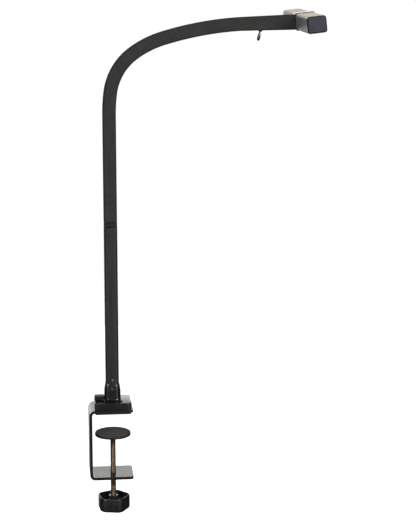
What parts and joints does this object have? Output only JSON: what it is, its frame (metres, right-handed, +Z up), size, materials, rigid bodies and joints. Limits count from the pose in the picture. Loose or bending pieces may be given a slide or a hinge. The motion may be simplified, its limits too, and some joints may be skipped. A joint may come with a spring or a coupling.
{
  "type": "clamp-on desk lamp",
  "caption": "Clamp-on LED desk lamp: screw clamp with star knob, square pole, flexible rubber-covered neck, toggle switch and a crosswise light bar.",
  "frame": {"origin": "middle of the jaw pad's underside, where the desk top goes, right under the pole's axis", "axes": "+Z up along the pole, +X the way the neck reaches, +Y along the light bar, away from the side with the pole's rivet"},
  "size_m": [0.2497, 0.164, 0.5554],
  "materials": {
    "black_coat": "satin",
    "satin_tube": "satin",
    "black_plastic": "matte",
    "neck_rubber": "matte",
    "pad_rubber": "matte",
    "bronze_screw": "satin",
    "bright_steel": "polished",
    "dark_steel": "satin",
    "brass": "polished",
    "head_aluminium": "satin",
    "cap_plastic": "matte",
    "circuit_board": "satin",
    "opal_diffuser": "satin",
    "lead_sheath": "matte"
  },
  "bodies": {
    "clamp": {"clamp_bracket": "black_coat", "jaw_pad": "pad_rubber", "screw_bush": "dark_steel", "base_screw_1": "bright_steel", "base_screw_2": "bright_steel", "base_screw_3": "bright_steel", "base_screw_4": "bright_steel", "base_block": "black_coat", "inlet_housing": "black_plastic", "inlet_barrel": "bright_steel", "inlet_pin": "brass", "foot_flange": "black_coat", "pole_socket": "black_coat", "socket_screw": "dark_steel", "pole_bolt": "bright_steel", "pole_bolt_nut": "bright_steel", "pole_tube": "satin_tube", "pole_rivet": "dark_steel", "swivel_bush": "black_plastic", "swivel_collar": "black_plastic", "inner_lead": "lead_sheath"},
    "pressure_pad": {"pressure_plate": "black_coat", "pad_facing": "pad_rubber"},
    "clamp_screw": {"clamp_screw": "bronze_screw", "clamp_knob": "black_plastic", "knob_washer": "dark_steel", "knob_nut": "dark_steel"},
    "neck_1": {"swivel_spigot": "bright_steel", "swivel_clip": "dark_steel", "neck_cover_1": "neck_rubber", "neck_spine_1": "dark_steel"},
    "neck_2": {"neck_cover_2": "neck_rubber", "neck_spine_2": "dark_steel"},
    "neck_3": {"neck_cover_3": "neck_rubber", "neck_spine_3": "dark_steel"},
    "neck_4": {"neck_cover_4": "neck_rubber", "neck_spine_4": "dark_steel"},
    "neck_5": {"neck_cover_5": "neck_rubber", "neck_spine_5": "dark_steel"},
    "neck_6": {"neck_cover_6": "neck_rubber", "neck_spine_6": "dark_steel"},
    "arm_end": {"neck_cover_7": "neck_rubber", "neck_spine_7": "dark_steel", "spine_ferrule": "bright_steel", "arm_end_housing": "neck_rubber", "switch_bushing": "dark_steel", "switch_body": "black_plastic"},
    "switch_lever": {"switch_lever": "black_plastic"},
    "head": {"head_housing": "head_aluminium", "diffuser": "opal_diffuser", "head_band": "black_coat", "head_pivot": "bright_steel", "pivot_clip": "dark_steel", "led_board": "circuit_board", "end_cap_front": "cap_plastic", "end_cap_back": "cap_plastic"}
  },
  "joints": [
    {"name": "screw_travel", "type": "slide", "parent": "clamp", "child": "pressure_pad", "axis": [0, 0, 1], "range_m": [-0.042, 0.02]},
    {"name": "knob_turn", "type": "hinge", "parent": "pressure_pad", "child": "clamp_screw", "pos_m": [0, 0, -0.1], "axis": [0, 0, 1], "range_deg": [-15150, 7227]},
    {"name": "neck_swivel", "type": "hinge", "parent": "clamp", "child": "neck_1", "pos_m": [0, 0, 0.2132], "axis": [0, 0, 1], "range_deg": [-170, 170]},
    {"name": "neck_bend_1", "type": "hinge", "parent": "neck_1", "child": "neck_2", "pos_m": [0, 0, 0.2432], "axis": [0, 1, 0], "range_deg": [-15, 15]},
    {"name": "neck_bend_2", "type": "hinge", "parent": "neck_2", "child": "neck_3", "pos_m": [0, 0, 0.2932], "axis": [0, 1, 0], "range_deg": [-15, 15]},
    {"name": "neck_bend_3", "type": "hinge", "parent": "neck_3", "child": "neck_4", "pos_m": [0.00051, 0, 0.34319], "axis": [0, 1, 0], "range_deg": [-15, 15]},
    {"name": "neck_bend_4", "type": "hinge", "parent": "neck_4", "child": "neck_5", "pos_m": [0.01862, 0, 0.38853], "axis": [0, 1, 0], "range_deg": [-15, 15]},
    {"name": "neck_bend_5", "type": "hinge", "parent": "neck_5", "child": "neck_6", "pos_m": [0.06204, 0, 0.41224], "axis": [0, 1, 0], "range_deg": [-15, 15]},
    {"name": "neck_bend_6", "type": "hinge", "parent": "neck_6", "child": "arm_end", "pos_m": [0.11087, 0, 0.42281], "axis": [0, 1, 0], "range_deg": [-15, 15]},
    {"name": "head_turn", "type": "hinge", "parent": "arm_end", "child": "head", "pos_m": [0.2116, 0, 0.429], "axis": [0.994, 0, 0.1097], "range_deg": [-90, 90]},
    {"name": "switch_toggle", "type": "hinge", "parent": "arm_end", "child": "switch_lever", "pos_m": [0.164, 0, 0.4213], "axis": [0, 1, 0], "range_deg": [-22, 0]}
  ],
  "couplings": [
    {"joint": "knob_turn", "follows": "screw_travel", "rad_per_m": 6283.2}
  ]
}
